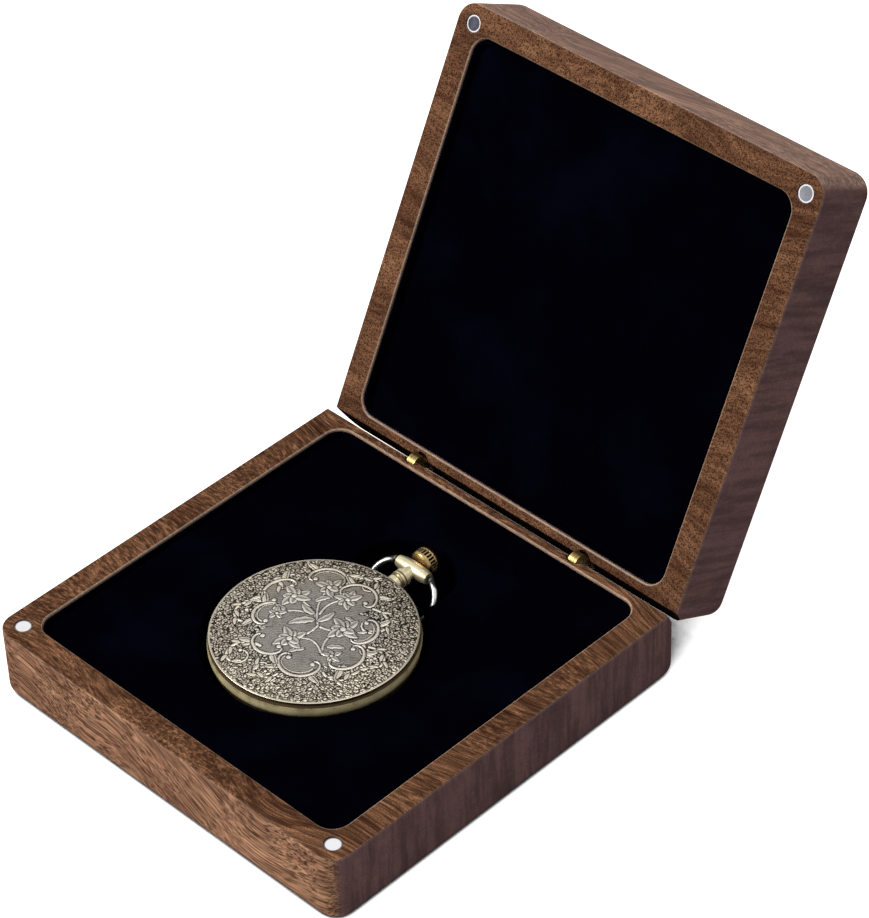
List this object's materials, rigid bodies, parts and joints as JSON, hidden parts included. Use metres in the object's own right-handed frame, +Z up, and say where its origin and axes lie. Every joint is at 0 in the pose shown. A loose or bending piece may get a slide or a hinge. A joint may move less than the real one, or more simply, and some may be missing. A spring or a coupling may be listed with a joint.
{
  "type": "pocket watch display box",
  "caption": "Square hinged wooden box with rounded edges, magnets in its rim and velvet pads, holding a hunter-case pocket watch with crown and bow in a round well.",
  "frame": {"origin": "centre of the base's underside, on the surface that the box stands on", "axes": "+Z up; +Y from the front, where the magnets are, to the hinges at the back, which the open lid leans over; +X to the right as seen from the front"},
  "size_m": [0.108, 0.1696, 0.1096],
  "materials": {
    "walnut": "oiled walnut with fine open pores",
    "velvet": "short black-navy velvet pile",
    "foam": "firm grey foam board under the velvet",
    "magnet": "bright nickel plating",
    "hinge_brass": "bright turned brass",
    "hinge_steel": "ground steel pin",
    "antique_case": "engraved antique silver-bronze, darkened in the recesses",
    "crystal": "clear flat glass",
    "dial": "plain white enamel",
    "hands": "blued steel",
    "movement": "gilt plates",
    "pale_gold": "polished pale champagne gold",
    "crown_gold": "knurled golden-brown metal",
    "bow_steel": "polished steel wire"
  },
  "bodies": {
    "base": {"base_tray": "walnut", "base_pad_core": "foam", "base_velvet": "velvet", "base_magnet_left": "magnet", "base_barrel_left": "hinge_brass", "base_leaves_left": "hinge_brass", "hinge_axle_left": "hinge_steel", "base_barrel_pin_left": "hinge_steel", "base_magnet_right": "magnet", "base_barrel_right": "hinge_brass", "base_leaves_right": "hinge_brass", "hinge_axle_right": "hinge_steel", "base_barrel_pin_right": "hinge_steel", "watch_case_middle": "antique_case", "watch_front_cover": "antique_case", "watch_back_cover": "antique_case", "watch_bezel": "antique_case", "watch_crystal": "crystal", "watch_dial": "dial", "watch_movement": "movement", "watch_pendant": "pale_gold"},
    "lid": {"lid_shell": "walnut", "lid_pad_core": "foam", "lid_velvet": "velvet", "lid_magnet_left": "magnet", "lid_barrel_left": "hinge_brass", "lid_leaf_left": "hinge_brass", "lid_barrel_pin_left": "hinge_steel", "lid_magnet_right": "magnet", "lid_barrel_right": "hinge_brass", "lid_leaf_right": "hinge_brass", "lid_barrel_pin_right": "hinge_steel"},
    "crown": {"watch_crown": "crown_gold", "watch_stem": "bow_steel"},
    "bow": {"watch_bow": "bow_steel"},
    "hour_hand": {"watch_hour_hand": "hands"},
    "minute_hand": {"watch_minute_hand": "hands"}
  },
  "joints": [
    {"name": "lid_hinge", "type": "hinge", "parent": "base", "child": "lid", "pos_m": [0, 0.05075, 0.0171], "axis": [1, 0, 0], "range_deg": [0, 117]},
    {"name": "crown_turn", "type": "hinge", "parent": "base", "child": "crown", "pos_m": [0, 0.0262, 0.01655], "axis": [0, 1, 0], "continuous": true},
    {"name": "bow_swing", "type": "hinge", "parent": "base", "child": "bow", "pos_m": [0, 0.0242, 0.01655], "axis": [1, 0, 0], "range_deg": [-7, 0]},
    {"name": "minute_hand_turn", "type": "hinge", "parent": "base", "child": "minute_hand", "pos_m": [0, -0.0069, 0.01655], "axis": [0, 0, 1], "continuous": true},
    {"name": "hour_hand_turn", "type": "hinge", "parent": "base", "child": "hour_hand", "pos_m": [0, -0.0069, 0.01655], "axis": [0, 0, 1], "continuous": true}
  ],
  "couplings": [
    {"joint": "hour_hand_turn", "follows": "minute_hand_turn", "ratio": 0.083333}
  ]
}
